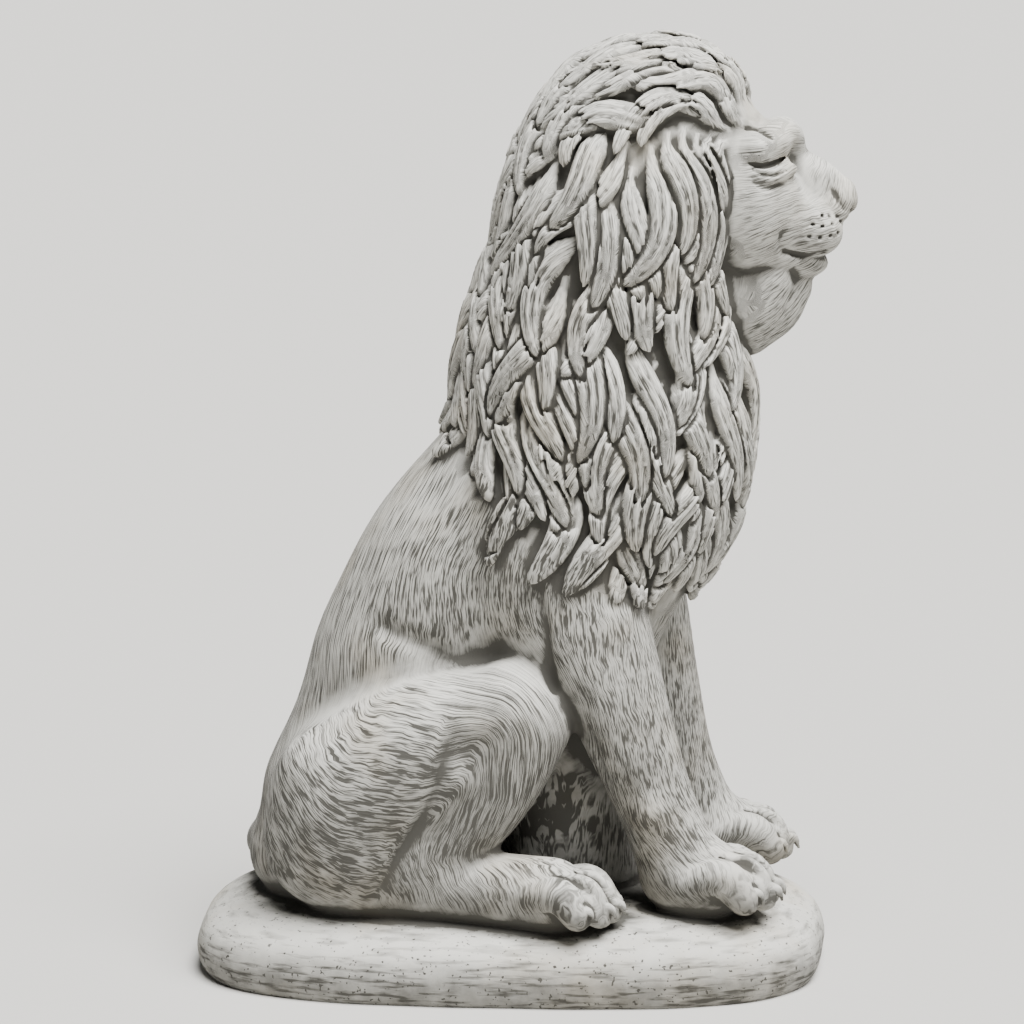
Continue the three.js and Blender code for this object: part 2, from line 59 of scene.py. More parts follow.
# The space that the statue is modelled in, and what its surface is judged by.
CLAY_LOW, CLAY_HIGH = (-190, -130, 2), (205, 130, 540)
FAR = 1e3
HOLLOW_REACHES = (2.5, 7, 18)
# The mane's roots: how many places are tried, the seed of their variety, and for each pass
# their spacing along and across the mane and the size of its locks. The second fills gaps.
ROOT_TRIES, ROOT_SEED = 6000, 7
LOCK_PASSES = ((24, 10.5, 1.0), (7.5, 7.5, 0.85))
# How a lock is traced and laid.
LOCK_STEP = 5.0
WAVE_LENGTH, WAVE_RISE = 62, 90
LOCK_THICKNESS = 0.62
TRENCH_FLOOR = 1.5
# Points of the mesh lower than this belong to the flat underside.
UNDERSIDE = 0.7
VIEW_HEIGHT = 0.2467

Form = namedtuple("Form", "low high distance")


def smooth_step(low, high, x):
    t = np.clip((x - low) / (high - low), 0, 1)
    return t * t * (3 - 2 * t)


def fillet(a, b, blend):
    """Distance to the nearer of two surfaces, with a fillet about as wide as blend."""
    h = np.maximum(0, 1 - np.abs(a - b) / blend)
    return np.minimum(a, b) - h * h * (blend / 4)


def round_distance(out, slope):
    return out * (out - 1) / np.maximum(slope, 1e-9)


def egg(centre, radii, pitch=0.0, yaw=0.0):
    """An egg shape. Pitch lifts its +X end, and yaw turns that end towards +Y, in degrees."""
    p, w = math.radians(pitch), math.radians(yaw)
    ahead = np.array([math.cos(w) * math.cos(p), math.sin(w) * math.cos(p), math.sin(p)])
    across = np.array([-math.sin(w), math.cos(w), 0.0])
    axes = (ahead, across, np.cross(ahead, across))
    centre = np.array(centre, float)
    reach = np.array(radii, float) if pitch == yaw == 0 else np.full(3, float(max(radii)))

    def distance(x, y, z):
        out = slope = 0
        for axis, radius in zip(axes, radii):
            part = ((x - centre[0]) * axis[0] + (y - centre[1]) * axis[1] + (z - centre[2]) * axis[2]) / radius
            part = part * part
            out = out + part
            slope = slope + part / (radius * radius)
        return round_distance(np.sqrt(out), np.sqrt(slope))

    return Form(centre - reach, centre + reach, distance)


def curve_points(points, count):
    """Points along a smooth curve through the given ones, count to each span."""
    p = np.array(points, float)
    p = np.vstack([2 * p[0] - p[1], p, 2 * p[-1] - p[-2]])
    found = []
    for i in range(1, len(p) - 2):
        d0, d1, d2 = (max(np.sum((p[j + 1] - p[j]) ** 2) ** 0.25, 1e-4) for j in (i - 1, i, i + 1))
        t1 = d1 * ((p[i] - p[i - 1]) / d0 - (p[i + 1] - p[i - 1]) / (d0 + d1) + (p[i + 1] - p[i]) / d1)
        t2 = d1 * ((p[i + 1] - p[i]) / d1 - (p[i + 2] - p[i]) / (d1 + d2) + (p[i + 2] - p[i + 1]) / d2)
        step = p[i + 1] - p[i]
        for t in np.arange(count) / count:
            found.append(p[i] + t1 * t + (3 * step - 2 * t1 - t2) * t ** 2 + (t1 + t2 - 2 * step) * t ** 3)
    return np.array(found + [p[-2]])


def curve_values(values, count):
    """Numbers that pass smoothly through the given ones."""
    v = np.array(values, float)
    v = np.concatenate([v[:1], v, v[-1:]])
    found = []
    for i in range(1, len(v) - 2):
        t1, t2, step = (v[i + 1] - v[i - 1]) / 2, (v[i + 2] - v[i]) / 2, v[i + 1] - v[i]
        t = np.arange(count) / count
        found.extend(v[i] + t1 * t + (3 * step - 2 * t1 - t2) * t ** 2 + (t1 + t2 - 2 * step) * t ** 3)
    return np.array(found + [v[-2]])


def limb(points, radii, spans=6):
    """A limb that swells and tapers along a smooth curve through its points."""
    at = curve_points(points, spans)
    thick = curve_values(radii, spans)

    def distance(x, y, z):
        best = None
        for a, b, ra, rb in zip(at[:-1], at[1:], thick[:-1], thick[1:]):
            e = b - a
            length = float(e @ e)
            qx, qy, qz = x - a[0], y - a[1], z - a[2]
            along = qx * e[0] + qy * e[1] + qz * e[2]
            t = np.clip(along / length, 0, 1)
            gap = np.sqrt(np.maximum(qx * qx + qy * qy + qz * qz - t * (2 * along - t * length), 0))
            gap = gap - (ra + t * (rb - ra))
            best = gap if best is None else np.minimum(best, gap)
        return best

    return Form((at - thick[:, None]).min(0), (at + thick[:, None]).max(0), distance)


class Clay:
    """The modelling grid: distance to the surface at each point, below zero inside."""

    def __init__(self, low, high, cell):
        self.low = np.array(low, float)
        self.cell = cell
        self.axes = [np.arange(a, b + cell, cell, dtype=np.float32) for a, b in zip(low, high)]
        self.field = np.full([len(a) for a in self.axes], FAR, np.float32)

    def window(self, form, margin):
        cut = []
        for axis, a, b in zip(self.axes, form.low - margin, form.high + margin):
            cut.append(slice(*np.searchsorted(axis, [a, b])))
        x, y, z = (axis[c] for axis, c in zip(self.axes, cut))
        return tuple(cut), x[:, None, None], y[None, :, None], z[None, None, :]

    def add(self, form, blend):
        """Adds a form, with a fillet about as wide as blend where it meets what is there."""
        cut, x, y, z = self.window(form, blend + 2 * self.cell)
        self.field[cut] = fillet(self.field[cut], form.distance(x, y, z), blend)

    def carve(self, form, blend):
        """Cuts a form away, with the cut's edges rounded by blend."""
        cut, x, y, z = self.window(form, blend + 2 * self.cell)
        self.field[cut] = -fillet(-self.field[cut], form.distance(x, y, z), blend)

    def soften(self):
        """Rounds off edges and slivers that are thinner than the grid can hold."""
        soft = np.clip(self.field, -3, 3)
        for axis in range(3):
            inner = [slice(None)] * 3
            before, after = list(inner), list(inner)
            inner[axis], before[axis], after[axis] = slice(1, -1), slice(None, -2), slice(2, None)
            mixed = soft.copy()
            mixed[tuple(inner)] = 0.76 * soft[tuple(inner)] + 0.12 * (soft[tuple(before)] + soft[tuple(after)])
            soft = mixed
        self.field = soft

    def side_at(self, x, z, side):
        """How far out the statue's surface is at a place seen from its right (-1) or left (1)."""
        i, k = (int(np.searchsorted(axis, v)) for axis, v in ((self.axes[0], x), (self.axes[2], z)))
        column = self.field[i, :, k]
        reach = self.axes[1] * side
        if side < 0:
            column, reach = column[::-1], reach[::-1]
        last = len(column) - 1 - int(np.argmax(column[::-1] < 0))
        return float(reach[last]) + self.cell * 0.5

    def score(self, line, radius, sink, blend):
        """Scores a line into both sides, given by its places (x, z) as seen from the side."""
        places = curve_points([(x, 0, z) for x, z in line], 4)
        radii = radius * np.clip(np.sin(np.linspace(0.25, np.pi - 0.25, len(places))) * 1.4, 0.3, 1)
        for side in (-1, 1):
            out = [self.side_at(x, z, side) for x, _, z in places]
            out = np.convolve(np.pad(out, 2, mode="edge"), np.array([1, 4, 6, 4, 1]) / 16, "valid")
            track = [(x, side * (y - sink), z) for (x, _, z), y in zip(places, out)]
            self.carve(limb(track, radii, 1), blend)

    def press_in(self, places, radii, sink, blend):
        """Presses small hollows into both sides at places (x, z) as seen from the side."""
        for x, z in places:
            for side in (-1, 1):
                self.carve(egg((x, side * (self.side_at(x, z, side) - sink), z), radii), blend)

    def fullness(self, reach):
        """How much of the space within reach of each point is filled, from 0 to 1."""
        filled = (self.field < 0).astype(np.float32)
        n = max(1, round(reach / self.cell))
        for axis in range(3):
            pad = [(0, 0)] * 3
            pad[axis] = (n + 1, n)
            total = np.cumsum(np.pad(filled, pad, mode="edge"), axis=axis, dtype=np.float32)
            upper = np.take(total, np.arange(2 * n + 1, total.shape[axis]), axis=axis)
            lower = np.take(total, np.arange(total.shape[axis] - 2 * n - 1), axis=axis)
            filled = (upper - lower) / (2 * n + 1)
        return filled

    def sample(self, grid, points):
        """Values of a grid like this one at points, interpolated."""
        at = (points - self.low) / self.cell
        i = np.clip(np.floor(at).astype(int), 0, np.array(self.field.shape) - 2)
        f = (at - i).astype(np.float32)
        total = np.zeros(len(points), np.float32)
        for dx in (0, 1):
            for dy in (0, 1):
                for dz in (0, 1):
                    weight = np.abs(1 - dx - f[:, 0]) * np.abs(1 - dy - f[:, 1]) * np.abs(1 - dz - f[:, 2])
                    total += weight * grid[i[:, 0] + dx, i[:, 1] + dy, i[:, 2] + dz]
        return total

    def skin(self):
        """The surface as points in millimetres and four-sided faces."""
        grid = openvdb.FloatGrid(4.0)
        grid.copyFromArray(np.clip(self.field, -4, 4), tolerance=0.0)
        points, quads = grid.convertToQuads(0.0)
        return points * self.cell + self.low, quads


def both_sides(make):
    return make(-1) + make(1)


def toe_place(paw, step, forward, up):
    """A place on a toe, from how far along and above the paw it is."""
    heel, yaw, size = paw
    c, s = math.cos(math.radians(yaw)), math.sin(math.radians(yaw))
    reach = 12 if abs(step) > 1 else 20
    ahead, aside = (reach + forward) * size, step * 12.5 * size
    return heel[0] + c * ahead - s * aside, heel[1] + s * ahead + c * aside, heel[2] + up * size


TOES = (-1.5, -0.5, 0.5, 1.5)


def toe_limb(paw, step, course, radii):
    return limb([toe_place(paw, step, *at) for at in course], [r * paw[2] for r in radii])


def toes(paw):
    """Four toes fanned about a paw's heading."""
    return [(toe_limb(paw, step, ((-26, 6), (-6, 9), (5, -1)), (9, 10.5, 9)), 2.5) for step in TOES]


def toe_cuts(paw):
    """Clefts between the toes, and the slits that the claws stand in."""
    clefts = [(toe_limb(paw, step, ((-22, 17), (-4, 16), (8, 8), (12, -6)), (0.8, 2.4, 2.6, 2.6)), 3)
              for step in (-1, 0, 1)]
    slits = [(toe_limb(paw, step, ((11, 6), (14.5, 1), (15, -5)), (2.4, 3.4, 3.0)), 1.2) for step in TOES]
    return clefts + slits


def claws(paw):
    return [(toe_limb(paw, step, ((7, 4), (13, 2), (15.5, -4)), (2.0, 2.3, 1.0)), 0.5) for step in TOES]


BODY = [
    (egg((-80, 0, 96), (57, 66, 58)), 20),  # rump
    (egg((-92, 0, 66), (52, 60, 32)), 16),  # seat
    (egg((-54, 0, 160), (58, 60, 60)), 30),  # loins
    (egg((-32, 0, 205), (58, 61, 60)), 30),  # middle of the back
    (egg((-6, 0, 240), (60, 64, 74), -20), 30),  # ribs
    (egg((40, 0, 262), (64, 66, 86)), 30),  # chest
    (limb([(28, 0, 215), (30, 0, 130), (34, 0, 66)], [50, 42, 40]), 22),  # belly wall
]


def hind_foot(side):
    return (34, side * 82, 58), side * 24, 0.92


def hindleg(side):
    y = side * 70
    return [
        (limb([(-80, side * 54, 104), (-40, side * 62, 134), (2, y, 156)], [48, 42, 29]), 10),  # thigh
        (egg((-74, side * 60, 82), (54, 36, 38)), 12),  # haunch
        (limb([(8, y, 152), (-8, y, 116), (-44, y, 72)], [28, 24, 20]), 5),  # shin
        (limb([(-58, y - side * 4, 62), (-14, y + side * 4, 64), (26, y + side * 10, 62)], [18, 19, 20]), 8),
        (egg((-96, side * 74, 128), (16, 12, 14)), 14),  # point of the hip
    ] + toes(hind_foot(side))


def fore_paw(side):
    x = 7 if side > 0 else 0
    return (114 + x, side * 56, 62), side * 8, 1.0


def arm(side):
    x, y = 7 if side > 0 else 0, side * 54
    return [
        (egg((26 + x / 2, y, 232), (38, 30, 62), 15), 18),  # shoulder
        (limb([(46 + 2.3 * x, y, 205), (64 + 1.7 * x, y, 150), (80 + 1.2 * x, y, 108), (94 + x, y, 74)],
              [30, 25, 21, 22]), 10),
    ]


def foreleg(side):
    x, y = 7 if side > 0 else 0, side * 54
    return arm(side) + [
        (egg((104 + x, y, 66), (30, 25, 21)), 8),  # paw
        (limb([(36 + x, y + side * 16, 196), (55 + x, y + side * 19, 160), (66 + x, y + side * 16, 132)],
              [13, 10, 7]), 10),  # muscle of the forearm
        (egg((78 + x, y + side * 10, 104), (9, 14, 11)), 9),  # wrist
    ] + toes(fore_paw(side))


TAIL = [
    (limb([(-122, 6, 74), (-138, 40, 62), (-118, 78, 60), (-80, 96, 60), (-54, 100, 66)], [18, 13, 11, 10, 10]), 8),
    (limb([(-54, 100, 66), (-34, 101, 74), (-14, 99, 84)], [10, 14, 4]), 4),  # tuft
]

MANE = [
    (egg((76, 0, 456), (58, 56, 51)), 18),  # crown
    (egg((61, 0, 428), (50, 62, 50)), 24),  # back of the head
    (egg((56, 0, 395), (61, 74, 76)), 24),  # neck
    (egg((48, 0, 335), (73, 78, 76)), 24),  # withers
    (egg((68, 0, 292), (57, 66, 74)), 24),  # chest ruff
] + both_sides(lambda side: [(egg((46, side * 38, 290), (48, 42, 72), 12), 20)])


def half_head(side):
    return [
        (egg((125, side * 24, 420), (29, 19, 29), 0, -side * 12), 14),  # cheek
        (egg((138, side * 26, 446), (9, 8, 6.5)), 3),  # eyeball
        (egg((137, side * 26, 455), (11, 9.5, 8), 12), 2.5),  # upper eyelid
        (limb([(128, side * 35, 443), (140, side * 35, 439), (150, side * 27, 443)], [2, 3, 2]), 4),
        (egg((159, side * 12, 409), (17, 14, 13), -10, -side * 8), 5),  # lip
        (egg((172, side * 8, 421), (8, 6, 5.5), -30), 4),  # wing of the nose
        (limb([(138, side * 14, 382), (132, side * 13, 368), (122, side * 8, 354)], [11, 12, 10]), 8),
    ]


HEAD = [
    (egg((104, 0, 432), (46, 44, 44)), 10),  # skull
    (egg((128, 0, 446), (24, 32, 19), -10), 10),  # forehead
    (limb([(142, 0, 441), (160, 0, 434), (174, 0, 428)], [14, 13, 9]), 8),  # bridge of the nose
    (egg((149, 0, 413), (27, 26, 21)), 10),  # muzzle
    (limb([(130, -34, 453), (143, -15, 457), (145, 0, 455), (143, 15, 457), (130, 34, 453)],
          [7, 10.5, 10, 10.5, 7]), 7),  # brow
] + both_sides(half_head) + [
    (egg((176, 0, 425), (8, 12, 6.5), -35), 4),  # nose
    (egg((155, 0, 391), (13.5, 15, 7)), 3),  # chin
    (egg((136, 0, 397), (27, 26, 11), -4), 5),  # jaw
    (egg((114, 0, 376), (28, 30, 34)), 8),  # throat
    (limb([(149, 0, 378), (141, 0, 366), (128, 0, 355)], [11, 13, 12]), 8),  # beard
]


def half_face_cuts(side):
    return [
        (egg((155, side * 20, 449), (6, 6, 7)), 6),  # hollow beside the nose
        (egg((182, side * 6, 419.5), (4, 3, 2.5)), 2),  # nostril
    ]


FACE_CUTS = both_sides(half_face_cuts) + [
    (limb([(182, 0, 416), (179, 0, 409), (174, 0, 399)], [1.5, 1.5, 1.5]), 2),  # parting of the lips
]


# Creases as seen from the side: places (x, z), half width, depth below the skin, rounding.
BODY_LINES = [
    ([(-68, 202), (-56, 197), (-44, 193), (-34, 190)], 2.6, -0.9, 9),  # fold of the flank
    ([(20, 230), (22, 212), (24, 192), (27, 172)], 2.4, 0.5, 5),  # behind the elbow
    ([(-24, 154), (-29, 132), (-40, 104), (-52, 84), (-62, 66)], 3.0, -0.4, 7),  # thigh over shin
    ([(46, 152), (50, 136), (56, 119)], 1.6, 0.2, 4),  # tendon of the forearm
    ([(-138, 100), (-126, 78), (-112, 66)], 1.8, 0.3, 5),  # under the rump
]
FACE_LINES = [
    ([(127, 446.5), (134, 444.7), (140, 445.9), (148, 450.5)], 1.7, 1.0, 0.8),  # edge of the upper lid
    ([(129, 443), (134, 440.5), (140, 439.8), (147, 442.2)], 1.1, 0.5, 0.8),  # edge of the lower lid
    ([(124, 463), (131, 463.5), (139, 458.5)], 1.4, 0.4, 2),  # fold between lid and brow
    ([(130, 437), (137, 433.5), (146, 435)], 1.2, -0.3, 3),  # bag under the eye
    ([(146, 399.3), (156, 396.3), (165, 397.6), (173, 399)], 2.0, 1.0, 1.2),  # mouth
    ([(171, 431), (174.5, 425), (178, 419.5)], 1.2, 0.3, 1.5),  # wing of the nose
    ([(146, 399), (144, 404), (146, 411)], 1.4, -0.4, 4),  # corner of the mouth
]
WHISKERS = [
    (165.5, 417.5), (169.5, 417.5), (173.5, 417), (160.5, 413.3), (165.5, 412.3), (171, 413.2), (175, 414),
    (159, 407.2), (164.5, 406.4), (170, 407.2), (174, 408.5),
]


UNDER_MANE = BODY + both_sides(arm) + MANE


def joined(forms, p):
    d = np.full(len(p), FAR)
    for form, blend in forms:
        d = fillet(d, form.distance(p[:, 0], p[:, 1], p[:, 2]), blend)
    return d


def unit(v):
    return v / np.maximum(np.linalg.norm(v, axis=-1, keepdims=True), 1e-9)


def dot(a, b):
    return np.sum(a * b, axis=-1, keepdims=True)


def outward(p):
    """Directions straight out of the surface that the mane's locks lie on."""
    steps = 2 * np.eye(3)
    return unit(np.stack([joined(UNDER_MANE, p + s) - joined(UNDER_MANE, p - s) for s in steps], -1))


def settle(p, steps):
    for _ in range(steps):
        p = p - outward(p) * (0.9 * joined(UNDER_MANE, p))[:, None]
    return p


def hair_flow(p, normal):
    """The way that the mane lies: away from the brow, back over the crown, and down below."""
    x, y, z = p.T
    high = smooth_step(440, 495, z)
    rear = (1 - smooth_step(30, 100, x)) * smooth_step(300, 420, z)
    front = (smooth_step(440, 465, z) * smooth_step(95, 120, x))[:, None]
    flow = np.stack([-0.1 - high - 0.5 * rear, 0.15 * y / 80, -1 + 1.15 * high], -1)
    flow = flow * (1 - front) + unit(p - np.array([140, 0, 420])) * front
    return unit(flow - normal * dot(flow, normal))


def on_face(p):
    x, y, z = p.T
    face = np.hypot(y / 47, (z - 425) / 46) < 1
    beard = (np.abs(y) < 26) & (z > 345) & (z < 425)
    return (x > 106) & (face | beard)


def tip_height(p):
    return 208 + 0.0095 * np.maximum(0, 69 - p[:, 0]) ** 2


def turned(v, axis, angle):
    c, s = np.cos(angle)[:, None], np.sin(angle)[:, None]
    return v * c + np.cross(axis, v) * s + axis * dot(axis, v) * (1 - c)


def seeded(seed, count):
    """A repeatable stream of numbers from 0 to 1."""
    found = []
    for _ in range(count):
        seed = seed * 16807 % 2147483647
        found.append(seed / 2147483647)
    return np.array(found)


Lock = namedtuple("Lock", "path normals half_width strands shift")


def lock_roots(row, pitch, taken):
    """Evenly spread roots on the mane, away from those taken, with three numbers each."""
    i = np.arange(1, ROOT_TRIES + 1)[:, None]
    spread = i * np.array([0.8191725, 0.6710436, 0.5497005]) % 1
    p = settle(spread * (180, 176, 305) + (-40, -88, 215), 5)
    numbers = seeded(ROOT_SEED, 3 * ROOT_TRIES).reshape(-1, 3)
    fits = (joined(MANE, p) <= 4) & ~on_face(p) & (p[:, 2] >= tip_height(p) + 22)
    flow = hair_flow(p, outward(p))
    roots, kept = list(taken), []
    for k in np.flatnonzero(fits):
        if roots:
            gap = p[k] - np.array(roots)
            along = gap @ flow[k]
            across = np.sqrt(np.maximum(0, np.sum(gap * gap, 1) - along * along))
            if np.min(np.hypot(along / row, across / pitch)) < 1:
                continue
        roots.append(p[k])
        kept.append(k)
    return p[kept], numbers[kept]


def lay_locks(s, row, pitch, size, taken):
    """Waving locks grown from spread roots, all traced together step by step."""
    p, numbers = lock_roots(row, pitch, taken)
    phase, length, girth = 0.35 * numbers[:, 0], numbers[:, 1], numbers[:, 2]
    reach = s.lock_length / MM * size * (0.8 + 0.45 * length)
    lowest = tip_height(p) + 14 * length
    side = np.where(p[:, 1] < 0, 1.0, -1.0)
    trail = []
    gone = 0.0
    growing = np.ones(len(p), bool)
    while growing.any():
        growing &= (gone <= reach) & (p[:, 2] > lowest)
        n = outward(p)
        lift = s.lock_lift / MM * (1.4 * smooth_step(0, 0.6, gone / reach) - 0.4)
        trail.append((growing.copy(), p + n * lift[:, None], n))
        turn = s.lock_swing * np.sin(2 * np.pi * (gone / WAVE_LENGTH + p[:, 2] / WAVE_RISE + phase)) * side
        p = settle(p + turned(hair_flow(p, n), n, turn) * LOCK_STEP, 1)
        gone += LOCK_STEP
    locks = []
    for k in range(len(p)):
        path = np.array([at[k] for on, at, _ in trail if on[k]])
        normals = np.array([n[k] for on, _, n in trail if on[k]])
        half = s.lock_width / MM / 2 * size * (0.85 + 0.35 * girth[k])
        locks.append(Lock(path, normals, half, max(1, round(half / 2.6)), girth[k] - 0.5))
    return locks


def clear_part(lock, clay):
    """The part of a lock before it would dive under the face."""
    buried = clay.sample(clay.field, lock.path) < -2.5
    buried[:2] = False
    last = int(np.argmax(buried)) if buried.any() else len(buried)
    return lock._replace(path=lock.path[:last], normals=lock.normals[:last])


def lay_lock(clay, lock, groove, trench):
    """Lays a lock over what is there: a ridge pointed at both ends, parted into strands.

    A trench is cut along it first, so that it stands clear of the locks beneath.
    """
    path, normals, half, strands, shift = lock
    last = len(path) - 1
    t_all = np.arange(last + 1) / last
    taper = (0.2 + 0.8 * smooth_step(0, 0.35, t_all)) * np.sqrt(np.maximum(0, 1 - t_all ** 2.6))
    taper = np.maximum(0.1, taper)
    margin = trench + 2 * clay.cell
    space = clay.window(Form(path.min(0) - half, path.max(0) + half, None), margin)[0]
    whole = np.full(clay.field[space].shape, 9.0, np.float32)
    cut = whole.copy()
    for i in range(last):
        ends = path[i:i + 2]
        part, x, y, z = clay.window(Form(ends.min(0) - half, ends.max(0) + half, None), margin)
        part = tuple(slice(a.start - b.start, a.stop - b.start) for a, b in zip(part, space))
        e = path[i + 1] - path[i]
        n = unit(normals[i] + normals[i + 1])
        a = unit(np.cross(e, n))
        qx, qy, qz = x - path[i][0], y - path[i][1], z - path[i][2]
        t = np.clip((qx * e[0] + qy * e[1] + qz * e[2]) / (e @ e), 0, 1)
        qx, qy, qz = qx - t * e[0], qy - t * e[1], qz - t * e[2]
        rise = qx * n[0] + qy * n[1] + qz * n[2]
        aside2 = np.maximum(0, qx * qx + qy * qy + qz * qz - rise * rise)
        wide = half * (taper[i] + t * (taper[i + 1] - taper[i]))
        across = (qx * a[0] + qy * a[1] + qz * a[2]) / wide
        valley = np.cos(np.pi / 2 * (strands * across + strands - 1) + shift) / 0.7
        deep = wide * LOCK_THICKNESS - groove * np.clip(wide / 6, 0, 1) * np.exp(-valley * valley)
        out2, rise2 = aside2 / (wide * wide), (np.where(rise < 0, 0.4 * rise, rise) / deep) ** 2
        gap = round_distance(np.sqrt(out2 + rise2), np.sqrt(out2 / (wide * wide) + rise2 / (deep * deep)))
        whole[part] = np.minimum(whole[part], gap)
        if i >= 0.2 * last:
            cut[part] = np.minimum(cut[part], np.maximum(gap - trench, -TRENCH_FLOOR - rise))
    clay.field[space] = fillet(np.maximum(clay.field[space], -cut), whole, 0.5)


def base_form(s):
    """The base: a low cushion with a rounded-rectangle plan and a flat underside."""
    a, b = s.base_length / MM / 2, s.base_width / MM / 2
    crown = s.base_crown / MM + FOOT
    power = 2 / 0.66
    rings = [(130, crown), (75, crown - 1), (40, crown - 4), (20, crown - 9), (9, crown - 14), (3, crown - 20),
             (0, crown - 29), (0, FOOT + 12), (1.5, FOOT + 5), (5, FOOT), (130, FOOT)]
    edge = np.array(rings, float)
    edge = np.vstack([edge[:1], curve_points(np.c_[edge[1:10], np.zeros(9)], 8)[:, :2], edge[10:]])
    inset = np.arange(-24, 128, 0.5)
    height = np.arange(0, 64, 0.5)
    gap = np.full((len(inset), len(height)), FAR)
    inside = np.zeros(gap.shape, bool)
    for (x0, z0), (x1, z1) in zip(edge, np.roll(edge, -1, 0)):
        qx, qz, ex, ez = inset[:, None] - x0, height[None, :] - z0, x1 - x0, z1 - z0
        if (ex or ez) and not x0 == x1 == 130:
            t = np.clip((qx * ex + qz * ez) / (ex * ex + ez * ez), 0, 1)
            gap = np.minimum(gap, np.hypot(qx - t * ex, qz - t * ez))
        if ez:
            inside ^= ((height[None, :] < z0) != (height[None, :] < z1)) & (qx < ex * qz / ez)
    table = np.where(inside, -gap, gap).astype(np.float32)

    def distance(x, y, z):
        q = (np.abs(x / a) ** power + np.abs(y / b) ** power) ** (1 / power)
        out = np.hypot(x, y)
        wave = 0.5 * np.sin(x / 23 + 1.3) * np.sin(y / 19) + 0.35 * np.sin(x / 9 + y / 13)
        depth = np.where(q > 0.05, out * (1 - q) / np.maximum(q, 0.05), 127) + wave * (q > 0.8)
        i = np.clip((depth + 24) * 2, 0, len(inset) - 1.01)
        k = np.clip(z * 2, 0, len(height) - 1.01)
        i0, k0 = i.astype(int), k.astype(int)
        ti, tk = i - i0, k - k0
        outer = table[i0, k0] * (1 - tk) + table[i0, k0 + 1] * tk
        inner = table[i0 + 1, k0] * (1 - tk) + table[i0 + 1, k0 + 1] * tk
        return outer * (1 - ti) + inner * ti

    return Form(np.array([-a - 2, -b - 2, FOOT - 2]), np.array([a + 2, b + 2, crown + 2]), distance)


def sunk(form, depth):
    """The same form, smaller by depth all over."""
    return Form(form.low, form.high, lambda x, y, z: form.distance(x, y, z) + depth)


def model_statue(s):
    """The whole statue as clay, the base alone, and the mane's locks."""
    clay = Clay(CLAY_LOW, CLAY_HIGH, s.clay_cell / MM)

    def add(forms):
        for form, blend in forms:
            clay.add(form, blend)

    def carve(forms):
        for form, blend in forms:
            clay.carve(form, blend)

    paws = [make(side) for make in (hind_foot, fore_paw) for side in (-1, 1)]
    for forms in (BODY, both_sides(hindleg), both_sides(foreleg), TAIL):
        add(forms)
    clay.press_in([(-12, 140)], (13, 6, 12), -3, 8)  # hollow behind the knee
    for line in BODY_LINES:
        clay.score(*line)
    for paw in paws:
        carve(toe_cuts(paw))
        add(claws(paw))
    add([(sunk(form, s.mane_sink / MM), blend) for form, blend in MANE])
    add(HEAD)
    locks = []
    for row, pitch, size in LOCK_PASSES:
        locks += lay_locks(s, row, pitch, size, [at for lock in locks for at in lock.path])
    locks = [lock for lock in (clear_part(lock, clay) for lock in locks) if len(lock.path) > 4]
    locks.sort(key=lambda lock: lock.path[0][2] - 0.3 * lock.path[0][0])
    for lock in locks:
        lay_lock(clay, lock, s.strand_depth / MM, s.lock_gap / MM)
    clay.soften()
    add([(form, 3) for form, _ in HEAD])  # the cheeks, over the roots of the locks beside them
    carve(FACE_CUTS)
    for line in FACE_LINES:
        clay.score(*line)
    clay.press_in(WHISKERS, (1.6, 1.6, 1.0), 0.4, 0.5)
    lion = clay.field.copy()
    clay.field[:] = FAR
    clay.add(base_form(s), 2.0)
    base = clay.field.copy()
    clay.field = fillet(lion, base, 2.0)
    return clay, base, locks


